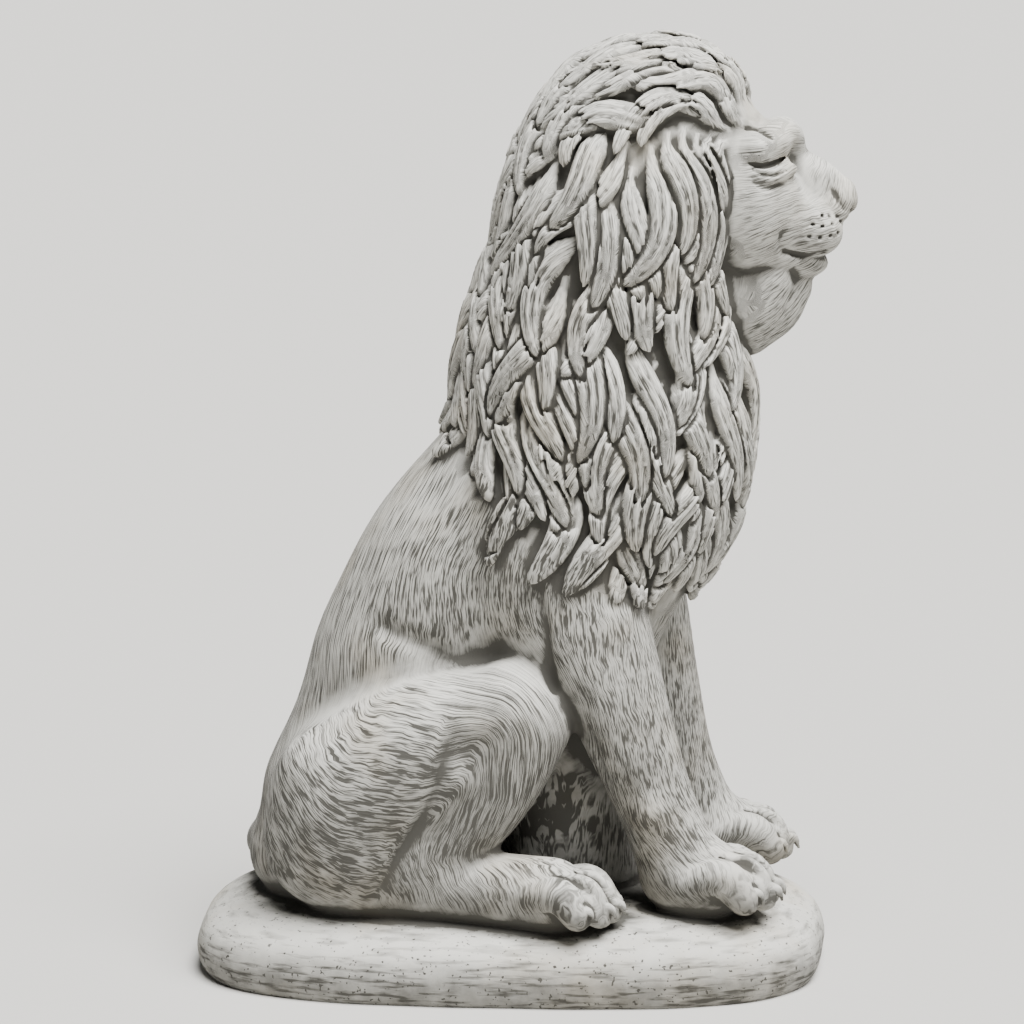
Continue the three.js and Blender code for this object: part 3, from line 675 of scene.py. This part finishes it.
# Which way the carved fur runs: place on the right side (x, out from the middle, z), then
# the direction of growth (x, outwards, z).
FUR = [
    ((-90, 40, 215), (-0.25, 0, -1)), ((-40, 60, 260), (-0.15, 0, -1)), ((-110, 45, 160), (-0.1, 0, -1)),
    ((-135, 30, 110), (0.05, 0, -1)), ((-140, 40, 75), (0.15, 0, -1)), ((-60, 62, 200), (0.35, 0, -0.9)),
    ((-20, 66, 200), (0.3, 0, -1)), ((10, 66, 210), (0.05, 0, -1)), ((-75, 66, 175), (0.6, 0, -0.75)),
    ((-95, 76, 135), (0.3, 0, -0.2)), ((-60, 90, 150), (0.85, 0, 0.4)), ((-30, 92, 162), (0.9, 0, 0.35)),
    ((-5, 90, 180), (0.95, 0, 0.1)), ((22, 88, 170), (0.4, 0, -0.9)), ((32, 85, 150), (-0.05, 0, -1)),
    ((-60, 95, 125), (1, 0, 0.08)), ((-35, 100, 130), (1, 0, 0.0)), ((-70, 98, 100), (1, 0, -0.2)),
    ((-100, 85, 95), (0.6, 0, -0.8)), ((-80, 95, 75), (0.7, 0, -0.6)), ((-50, 96, 80), (0.9, 0, -0.4)),
    ((-115, 70, 70), (0.3, 0, -1)), ((10, 92, 130), (-0.5, 0, -0.85)), ((-8, 92, 110), (-0.72, 0, -0.7)),
    ((-28, 90, 88), (-0.75, 0, -0.65)), ((-30, 92, 66), (-0.1, 0, -1)), ((0, 94, 66), (0.1, 0.1, -1)),
    ((25, 98, 66), (0.3, 0.2, -1)), ((45, 100, 62), (0.8, 0.3, -0.5)), ((28, 40, 150), (0, 0, -1)),
    ((30, 40, 100), (0, 0, -1)), ((40, 84, 225), (-0.7, 0, -0.7)), ((58, 84, 190), (-0.65, 0, -0.75)),
    ((65, 78, 160), (-0.5, 0, -0.85)), ((76, 76, 130), (-0.4, 0, -0.9)), ((84, 76, 105), (-0.1, 0, -1)),
    ((95, 78, 80), (0.15, 0.1, -1)), ((115, 78, 75), (0.4, 0.1, -0.9)), ((132, 74, 66), (0.7, 0, -0.6)),
    ((90, 30, 150), (0.1, 0, -1)), ((105, 54, 110), (0.3, 0, -1)), ((100, 30, 100), (0.2, 0, -1)),
    ((150, 0, 440), (0.1, 0.8, -0.6)), ((165, 14, 432), (0.35, 0.4, -0.8)), ((140, 30, 430), (-0.7, 0, -0.6)),
    ((125, 42, 430), (-0.85, 0, -0.45)), ((125, 42, 410), (-0.8, 0, -0.6)), ((150, 26, 415), (-0.9, 0, -0.35)),
    ((165, 18, 410), (-1, 0, -0.1)), ((140, 28, 395), (-0.7, 0, -0.8)), ((160, 12, 388), (-0.4, 0, -0.9)),
    ((125, 36, 462), (-0.8, 0, 0.55)), ((145, 12, 466), (-0.7, 0, 0.7)), ((118, 42, 445), (-1, 0, -0.1)),
    ((135, 20, 365), (-0.5, 0, -0.85)),
]


def fur_direction(points, normals):
    """Direction of the carved fur at each point, spread between the guides."""
    side = np.where(points[:, 1] < 0, -1.0, 1.0)
    place = points * np.stack([np.ones_like(side), side, np.ones_like(side)], -1)
    total = np.zeros_like(points)
    for at, way in FUR:
        gap = np.sum((place - np.array(at)) ** 2, 1) + 30
        total += unit(np.array(way, float)) / (gap ** 2)[:, None]
    total[:, 1] *= side
    return unit(total - normals * dot(total, normals))


def along_locks(points, locks):
    """Which points are on the mane, and where each lies across and along its lock."""
    hair = np.flatnonzero((points[:, 2] > 205) & ~on_face(points) & (joined(MANE, points) < 16))
    at = np.vstack([lock.path[:-1] for lock in locks])
    way = np.vstack([unit(np.diff(lock.path, axis=0)) for lock in locks])
    beside = unit(np.cross(way, np.vstack([lock.normals[:-1] for lock in locks])))
    gone = np.concatenate([LOCK_STEP * np.arange(len(lock.path) - 1) for lock in locks])
    number = np.concatenate([np.full(len(lock.path) - 1, i) for i, lock in enumerate(locks)])
    near = np.empty(len(hair), int)
    for part in np.array_split(np.arange(len(hair)), max(1, len(hair) // 2000)):
        p = points[hair[part]]
        near[part] = np.argmin(np.sum(at ** 2, 1) - 2 * p @ at.T, 1)
    off = points[hair] - at[near]
    across = np.sum(off * beside[near], 1) + 23 * number[near]
    along = np.sum(off * way[near], 1) + gone[near]
    return hair, across, along


def spread_along(points, edges, wanted, kept, start, rounds=260):
    """A number per point that climbs along the wanted directions, by least squares."""
    a, b = edges[kept].T
    rise = np.sum((wanted[a] + wanted[b]) / 2 * (points[b] - points[a]), 1)
    count = len(points)
    weight = 1 / np.maximum(np.sum((points[b] - points[a]) ** 2, 1), 0.05) ** 0.5

    def gather(values):
        return np.bincount(b, values, count) - np.bincount(a, values, count)

    diagonal = np.bincount(a, weight, count) + np.bincount(b, weight, count) + 1e-6
    value = start.astype(float)
    residual = gather(weight * (rise - (value[b] - value[a])))
    ready = residual / diagonal
    way = ready.copy()
    strength = residual @ ready
    for _ in range(rounds):
        pull = gather(weight * (way[b] - way[a])) + 1e-6 * way
        step = strength / max(way @ pull, 1e-12)
        value += step * way
        residual -= step * pull
        ready = residual / diagonal
        stronger = residual @ ready
        way = ready + (stronger / max(strength, 1e-20)) * way
        strength = stronger
    return value


def add_attribute(mesh, name, values):
    values = np.asarray(values, np.float32)
    kind, part = ("FLOAT_VECTOR", "vector") if values.ndim == 2 else ("FLOAT", "value")
    mesh.attributes.new(name, kind, "POINT").data.foreach_set(part, values.ravel())


def only_select(obj):
    bpy.ops.object.select_all(action="DESELECT")
    obj.select_set(True)
    bpy.context.view_layer.objects.active = obj


def apply_modifier(obj, kind, **settings):
    modifier = obj.modifiers.new(kind.title(), kind)
    for name, value in settings.items():
        setattr(modifier, name, value)
    only_select(obj)
    bpy.ops.object.modifier_apply(modifier=modifier.name)


def mesh_arrays(mesh):
    points = np.empty(len(mesh.vertices) * 3, np.float32)
    mesh.vertices.foreach_get("co", points)
    normals = np.empty(len(mesh.vertices) * 3, np.float32)
    mesh.vertex_normals.foreach_get("vector", normals)
    edges = np.empty(len(mesh.edges) * 2, np.int32)
    mesh.edges.foreach_get("vertices", edges)
    return points.reshape(-1, 3).astype(float), normals.reshape(-1, 3).astype(float), edges.reshape(-1, 2)


def keep_main_body(obj):
    """Deletes the pinholes that close up between the locks, and loose crumbs."""
    mesh = obj.data
    points, _, edges = mesh_arrays(mesh)
    label = np.arange(len(points))
    while True:
        least = label.copy()
        np.minimum.at(least, edges[:, 0], label[edges[:, 1]])
        np.minimum.at(least, edges[:, 1], label[edges[:, 0]])
        least = least[least]
        if np.array_equal(least, label):
            break
        label = least
    main = np.bincount(label).argmax()
    mesh.vertices.foreach_set("select", label != main)
    only_select(obj)
    bpy.ops.object.mode_set(mode="EDIT")
    bpy.ops.mesh.delete(type="VERT")
    bpy.ops.object.mode_set(mode="OBJECT")


def skin_mesh(s, clay):
    points, quads = clay.skin()
    mesh = bpy.data.meshes.new("lion_casting")
    mesh.vertices.add(len(points))
    mesh.vertices.foreach_set("co", ((points - (0, 0, FOOT)) * MM).astype(np.float32).ravel())
    mesh.loops.add(quads.size)
    mesh.loops.foreach_set("vertex_index", quads[:, ::-1].astype(np.int32).ravel())
    mesh.polygons.add(len(quads))
    mesh.polygons.foreach_set("loop_start", np.arange(0, quads.size, 4, dtype=np.int32))
    mesh.polygons.foreach_set("loop_total", np.full(len(quads), 4, np.int32))
    mesh.update(calc_edges=True)
    obj = bpy.data.objects.new("lion_casting", mesh)
    bpy.context.collection.objects.link(obj)
    bpy.context.view_layer.update()
    only_select(obj)
    bpy.ops.object.mode_set(mode="EDIT")
    bpy.ops.mesh.select_all(action="SELECT")
    bpy.ops.mesh.normals_make_consistent(inside=False)
    bpy.ops.mesh.select_all(action="DESELECT")
    bpy.ops.object.mode_set(mode="OBJECT")
    keep_main_body(obj)
    triangles = 2 * len(obj.data.polygons)
    apply_modifier(obj, "DECIMATE", ratio=min(1.0, s.triangles / triangles), use_collapse_triangulate=True)
    keep_main_body(obj)
    mesh = obj.data
    points = mesh_arrays(mesh)[0]
    points[points[:, 2] < UNDERSIDE * MM, 2] = 0
    mesh.vertices.foreach_set("co", points.astype(np.float32).ravel())
    mesh.update()
    only_select(obj)
    bpy.ops.object.shade_smooth()
    return obj


def mark_surface(s, obj, clay, base_field, locks):
    """Stores what the stone's finish follows: the lie of the fur, and how dark it is painted: grime in the grooves,
    with painted shade in the grooves and hollows and on the sides that face down.
    """
    mesh = obj.data
    points, normals, edges = mesh_arrays(mesh)
    p = points / MM + (0, 0, FOOT)
    way = fur_direction(p, normals)
    side = np.where(p[:, 1] < 0, 1.0, -1.0)[:, None]
    ends = p[edges]
    same_side = (ends[:, 0, 1] < 0) == (ends[:, 1, 1] < 0)
    behind = ends[:, :, 0] < 94 + (74 - ends[:, :, 2]) * 0.42
    inner_leg = (behind[:, 0] != behind[:, 1]) & (np.abs(ends[:, 0, 1]) < 50) & (ends[:, 0, 2] < 215)
    kept = same_side & ~inner_leg
    across = spread_along(p, edges, np.cross(normals, way) * side, kept, p[:, 0])
    along = spread_along(p, edges, way, kept, -p[:, 2])
    hair, across[hair], along[hair] = along_locks(p, locks)
    lie = np.stack([across * MM / s.stroke_width, along * MM / s.stroke_length, np.zeros(len(p))], -1)
    add_attribute(mesh, "fur_lie", lie)

    fine, broad, deep = (clay.sample(clay.fullness(reach), p + normals * 0.6) for reach in HOLLOW_REACHES)
    base = 1 - smooth_step(0.5, 3.0, np.abs(clay.sample(base_field, p)))
    add_attribute(mesh, "on_base", base)
    mane = np.zeros(len(p))
    mane[hair] = 1
    face = (1 - mane) * smooth_step(340, 380, p[:, 2])
    leg = smooth_step(38, 60, p[:, 0]) * (1 - smooth_step(215, 240, p[:, 2]))
    share = (1 - base) * (1 - 0.3 * mane) * (1 - 0.4 * face) * (1 - 0.3 * leg)
    share *= 1 - 0.85 * smooth_step(0.47, 0.56, deep)
    add_attribute(mesh, "stroke_share", share * (0.4 + 0.6 * smooth_step(58, 93, p[:, 2])))
    # Grime in the grooves, with the shade that falls in grooves and hollows painted in with it.
    hold = 0.7 * smooth_step(0.41, 0.56, fine) + 0.5 * smooth_step(0.46, 0.62, broad)
    # Painted shade in the deep hollows, and on every side the less it faces up.
    hold += 0.45 * smooth_step(0.52, 0.75, deep) + 0.5 * smooth_step(-0.85, 0.1, -normals[:, 2]) * (1 - 0.25 * face)
    # Darker towards the bottom.
    hold += 0.2 * (1 - smooth_step(50, 240, p[:, 2]))
    # Lighter on the mane's sharpest crests.
    hold -= 0.3 * smooth_step(-0.37, -0.25, -fine) * mane
    add_attribute(mesh, "grime_and_painted_shade", np.maximum(hold, 0))


def linear(hex_colour):
    """An sRGB hex colour as linear numbers."""
    parts = [int(hex_colour[i:i + 2], 16) / 255 for i in (1, 3, 5)]
    return tuple(c / 12.92 if c <= 0.04045 else ((c + 0.055) / 1.055) ** 2.4 for c in parts)


def add_node(tree, kind, inputs=(), output=0, **settings):
    """Adds a node with its settings, sets or links its inputs, and returns one output."""
    made = tree.nodes.new(kind)
    for name, value in settings.items():
        setattr(made, name, value)
    for name, value in dict(inputs).items():
        if isinstance(value, bpy.types.NodeSocket):
            tree.links.new(value, made.inputs[name])
        else:
            made.inputs[name].default_value = value
    return made.outputs[output]


def cast_stone(s):
    """Cast stone: pale cement and stone dust, brushed all over with a dark colour that stays
    in every groove and is wiped and rained off the high places. The same dark colour paints
    the shade in the grooves and hollows and on the sides that face down."""
    material = bpy.data.materials.new("stone_with_grime_and_painted_shade")
    material.use_nodes = True
    tree = material.node_tree
    tree.nodes.clear()
    node = partial(add_node, tree)
    place = node("ShaderNodeTexCoord", output="Object")
    lie = node("ShaderNodeAttribute", output="Vector", attribute_name="fur_lie")
    share = node("ShaderNodeAttribute", output="Fac", attribute_name="stroke_share")
    # The grime with the painted shade, as stored on the mesh.
    hold = node("ShaderNodeAttribute", output="Fac", attribute_name="grime_and_painted_shade")
    base = node("ShaderNodeAttribute", output="Fac", attribute_name="on_base")

    # Strokes of fur that follow its lie, which gives the eye the carver's tool marks. The
    # real ones are about half a millimetre wide and are drawn coarser, so that they show. They
    # are drawn dark, as painted shade in the carved grooves with the grime that stays there.
    stroke = node("ShaderNodeTexNoise", {"Vector": lie, "Scale": 1.0, "Detail": 1.5, "Roughness": 0.55,
                                         "Distortion": 0.15}, "Fac")
    finer = node("ShaderNodeMapping", {"Vector": lie, "Location": (0, 0, 7), "Scale": (1.8, 1.45, 1)})
    scratch = node("ShaderNodeTexNoise", {"Vector": finer, "Scale": 1.0, "Detail": 1.5, "Roughness": 0.55}, "Fac")
    broader = node("ShaderNodeMapping", {"Vector": lie, "Location": (0, 0, 3), "Scale": (0.16, 0.38, 1)})
    tuft = node("ShaderNodeTexNoise", {"Vector": broader, "Scale": 1.0, "Detail": 1.5}, "Fac")
    line = node("ShaderNodeMapRange", {"Value": stroke, "From Min": 0.49, "From Max": 0.37})
    thin = node("ShaderNodeMapRange", {"Value": scratch, "From Min": 0.49, "From Max": 0.37, "To Max": 0.75})
    line = node("ShaderNodeMath", {0: line, 1: thin}, operation="MAXIMUM")
    line = node("ShaderNodeMath", {0: line, 1: share}, operation="MULTIPLY")

    # Blotches 14 mm across, where the wash was wiped more or less, break up the even tone.
    mottle = node("ShaderNodeTexNoise", {"Vector": place, "Scale": 1 / (14 * MM), "Detail": 4.0,
                                         "Roughness": 0.6}, "Fac")
    wiped = node("ShaderNodeMapRange", {"Value": mottle, "From Min": 0.25, "From Max": 0.7, "To Min": 0.7,
                                        "To Max": 1.15})
    # How far the stone goes towards the dark colour: the fur strokes' dark lines, then the grime with its painted
    # shade.
    grime_and_shade = node("ShaderNodeMath", {0: line, 1: 0.9, 2: hold}, operation="MULTIPLY_ADD")
    grime_and_shade = node("ShaderNodeMath", {0: grime_and_shade, 1: wiped}, operation="MULTIPLY")

    # Pits and drag marks on the base show the mould and the brush drawn along its side.
    drag = node("ShaderNodeMapping", {"Vector": place, "Scale": (0.12, 0.12, 1.0)})
    streak = node("ShaderNodeTexNoise", {"Vector": drag, "Scale": 1 / (2.6 * MM), "Detail": 3.0}, "Fac")
    streak = node("ShaderNodeMapRange", {"Value": streak, "From Min": 0.5, "From Max": 0.78, "To Max": 0.55})
    pit = node("ShaderNodeTexNoise", {"Vector": place, "Scale": 1 / (2.2 * MM), "Detail": 1.0}, "Fac")
    pit = node("ShaderNodeMapRange", {"Value": pit, "From Min": 0.66, "From Max": 0.74, "To Max": 0.6})
    marks = node("ShaderNodeMath", {0: streak, 1: pit}, operation="ADD")
    marks = node("ShaderNodeMath", {0: marks, 1: base}, operation="MULTIPLY")
    grime_and_shade = node("ShaderNodeMath", {0: grime_and_shade, 1: marks}, operation="ADD")
    grime_and_shade = node("ShaderNodeMath", {0: grime_and_shade, 1: 0.93}, operation="MINIMUM")

    # A warm stain in patches 45 mm across, as damp and soil leave on stone out of doors.
    stain = node("ShaderNodeTexNoise", {"Vector": place, "Scale": 1 / (45 * MM), "Detail": 3.0}, "Fac")
    stain = node("ShaderNodeMapRange", {"Value": stain, "From Min": 0.5, "From Max": 0.72, "To Max": 0.35})
    stone = node("ShaderNodeMix", {0: stain, 6: (*s.stone_colour, 1), 7: (*s.stain_colour, 1)}, 2, data_type="RGBA")
    # The dark colour over the stone paints the grime and the shade in grooves, hollows and on the sides that face
    # down.
    colour = node("ShaderNodeMix", {0: grime_and_shade, 6: stone, 7: (*s.grime_and_shade_colour, 1)}, 2, data_type="RGBA")

    # Relief of the strokes and marks, and a grit drawn at 0.9 mm, coarser than the stone's
    # own dust, so that the surface still reads as dry and matt.
    grit = node("ShaderNodeTexNoise", {"Vector": place, "Scale": 1 / (0.9 * MM), "Detail": 2.0}, "Fac")
    height = node("ShaderNodeMath", {0: stroke, 1: share}, operation="MULTIPLY")
    height = node("ShaderNodeMath", {0: tuft, 1: 0.6, 2: height}, operation="MULTIPLY_ADD")
    height = node("ShaderNodeMath", {0: grit, 1: 0.12, 2: height}, operation="MULTIPLY_ADD")
    height = node("ShaderNodeMath", {0: marks, 1: -0.8, 2: height}, operation="MULTIPLY_ADD")
    relief = node("ShaderNodeBump", {"Height": height, "Strength": 0.55, "Distance": 1.1 * MM})
    finish = node("ShaderNodeBsdfPrincipled", {"Base Color": colour, "Normal": relief, "Roughness": 0.86,
                                               "IOR": 1.5, "Specular IOR Level": 0.3})
    tree.links.new(finish, tree.nodes.new("ShaderNodeOutputMaterial").inputs["Surface"])
    return material


class StatueSettings(bpy.types.PropertyGroup):
    base_length: bpy.props.FloatProperty(
        name="Base length", description="Length of the base from back to front", default=0.342, unit="LENGTH")
    base_width: bpy.props.FloatProperty(
        name="Base width", description="Width of the base from side to side", default=0.228, unit="LENGTH")
    base_crown: bpy.props.FloatProperty(
        name="Base height", description="Height of the base's top under the lion", default=0.044, unit="LENGTH")
    lock_length: bpy.props.FloatProperty(
        name="Lock length", description="Length of a lock of the mane", default=0.072, unit="LENGTH")
    lock_width: bpy.props.FloatProperty(
        name="Lock width", description="Width of a lock at its middle", default=0.0155, unit="LENGTH")
    lock_swing: bpy.props.FloatProperty(
        name="Lock swing", description="How far a lock waves to each side", default=0.6, subtype="ANGLE")
    lock_lift: bpy.props.FloatProperty(
        name="Lock lift", description="How far a lock's tip stands off the mane", default=0.0045, unit="LENGTH")
    strand_depth: bpy.props.FloatProperty(
        name="Strand depth", description="Depth of the lines scored along a lock", default=0.0026, unit="LENGTH")
    lock_gap: bpy.props.FloatProperty(
        name="Lock gap", description="Width of the groove round a lock that lies over others", default=0.0014,
        unit="LENGTH")
    mane_sink: bpy.props.FloatProperty(
        name="Mane depth", description="How far the mane's ground lies below the locks", default=0.0025,
        unit="LENGTH")
    stroke_width: bpy.props.FloatProperty(
        name="Stroke width", description="Spacing of the fur's strokes", default=0.0009, unit="LENGTH")
    stroke_length: bpy.props.FloatProperty(
        name="Stroke length", description="Length of the fur's strokes", default=0.013, unit="LENGTH")
    clay_cell: bpy.props.FloatProperty(
        name="Modelling step", description="Spacing of the modelling grid", default=0.0011, unit="LENGTH")
    triangles: bpy.props.IntProperty(
        name="Triangles", description="Most triangles in the finished statue", default=192000,
        subtype="UNSIGNED")
    stone_colour: bpy.props.FloatVectorProperty(
        name="Stone", description="Colour of the bare stone", default=linear("#D6D4CC"), subtype="COLOR")
    stain_colour: bpy.props.FloatVectorProperty(
        name="Stain", description="Colour of the stone where it is stained", default=linear("#B9A98A"),
        subtype="COLOR")
    # The dark colour of the grime in the grooves, which also paints the shade in the hollows and on the sides that
    # face down.
    grime_and_shade_colour: bpy.props.FloatVectorProperty(
        name="Wash", description="Colour of the dark wash in the grooves", default=linear("#26241E"), subtype="COLOR")


class StageSettings(bpy.types.PropertyGroup):
    floor_side: bpy.props.FloatProperty(
        name="Floor side", description="Length of the floor's sides", default=60.0, unit="LENGTH")
    azimuth: bpy.props.FloatProperty(
        name="Azimuth", description="Camera's turn from the lion's right side towards its front",
        default=math.radians(4), subtype="ANGLE")
    elevation: bpy.props.FloatProperty(
        name="Elevation", description="Camera's height as an angle", default=math.radians(8.5), subtype="ANGLE")
    distance: bpy.props.FloatProperty(
        name="Distance", description="From the camera to the middle of the view", default=2.2, unit="LENGTH")
    view_side: bpy.props.FloatProperty(
        name="View side", description="Side of the square that fills the frame", default=0.5547, unit="LENGTH")


class STATUE_OT_casting(bpy.types.Operator):
    """Models the lion and its base, and gives them their stone"""
    bl_idname = "statue.casting"
    bl_label = "Add lion and base"

    def execute(self, context):
        s = context.scene.statue_settings
        clay, base_field, locks = model_statue(s)
        obj = skin_mesh(s, clay)
        mark_surface(s, obj, clay, base_field, locks)
        obj.data.materials.append(cast_stone(s))
        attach(obj, "root")
        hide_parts("lion_statue")
        return {"FINISHED"}


class STATUE_OT_stage(bpy.types.Operator):
    """Adds the floor, the soft light and the camera"""
    bl_idname = "statue.stage"
    bl_label = "Add stage"

    def execute(self, context):
        s = context.scene.stage_settings
        bpy.ops.object.select_all(action="DESELECT")
        bpy.ops.mesh.primitive_plane_add(size=s.floor_side)
        floor = context.object
        floor.name = "floor"
        # Matt painted board gives an even pale ground without shine, so that shadows show.
        paper = bpy.data.materials.new("matt_painted_board")
        paper.use_nodes = True
        shader = paper.node_tree.nodes["Principled BSDF"]
        shader.inputs["Base Color"].default_value = (*linear("#C6C4BF"), 1)
        shader.inputs["Roughness"].default_value = 0.9
        floor.data.materials.append(paper)
        for name, kind, place, spread, power in (
                ("soft_sky", "SUN", (0.3, -0.36, 1.0), 0.7, 10.0), ("front_fill", "AREA", (1.6, -1.8, 0.9), 1.4, 4)):
            lamp = bpy.data.lights.new(name, kind)
            lamp.energy = power
            if kind == "SUN":
                lamp.angle = spread
            else:
                lamp.size = spread
            holder = bpy.data.objects.new(name, lamp)
            holder.location = place
            aim = Vector((0, 0, 0)) if kind == "SUN" else Vector((0, 0, 0.25))
            holder.rotation_euler = (aim - Vector(place)).to_track_quat("-Z", "Y").to_euler()
            context.collection.objects.link(holder)
        world = bpy.data.worlds.new("studio")
        world.use_nodes = True
        world.node_tree.nodes["Background"].inputs["Color"].default_value = (*linear("#E9ECEF"), 1)
        world.node_tree.nodes["Background"].inputs["Strength"].default_value = 0.12
        context.scene.world = world
        lens = bpy.data.cameras.new("photo_view")
        lens.sensor_width = 36
        lens.lens = 36 * s.distance / s.view_side
        camera = bpy.data.objects.new("photo_view", lens)
        back = Vector((math.sin(s.azimuth) * math.cos(s.elevation), -math.cos(s.azimuth) * math.cos(s.elevation),
                       math.sin(s.elevation)))
        camera.location = Vector((0, 0, VIEW_HEIGHT)) + back * s.distance
        camera.rotation_euler = back.to_track_quat("Z", "Y").to_euler()
        context.collection.objects.link(camera)
        context.scene.camera = camera
        return {"FINISHED"}


class STATUE_PT_panel(bpy.types.Panel):
    """Sizes and colours of the statue, and the steps that build it"""
    bl_idname = "STATUE_PT_panel"
    bl_label = "Lion statue"
    bl_space_type = "VIEW_3D"
    bl_region_type = "UI"
    bl_category = "Lion statue"

    def draw(self, context):
        for settings, step in ((context.scene.statue_settings, "statue.casting"),
                               (context.scene.stage_settings, "statue.stage")):
            for name in settings.__annotations__:
                self.layout.prop(settings, name)
            self.layout.operator(step)


CLASSES = (StatueSettings, StageSettings, STATUE_OT_casting, STATUE_OT_stage, STATUE_PT_panel)


def register():
    for cls in CLASSES:
        bpy.utils.register_class(cls)
    bpy.types.Scene.statue_settings = bpy.props.PointerProperty(type=StatueSettings)
    bpy.types.Scene.stage_settings = bpy.props.PointerProperty(type=StageSettings)


def unregister():
    del bpy.types.Scene.statue_settings
    del bpy.types.Scene.stage_settings
    for cls in reversed(CLASSES):
        bpy.utils.unregister_class(cls)


def main():
    register()
    bpy.ops.statue.casting()
    bpy.ops.statue.stage()
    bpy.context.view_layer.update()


if __name__ == "__main__":
    main()
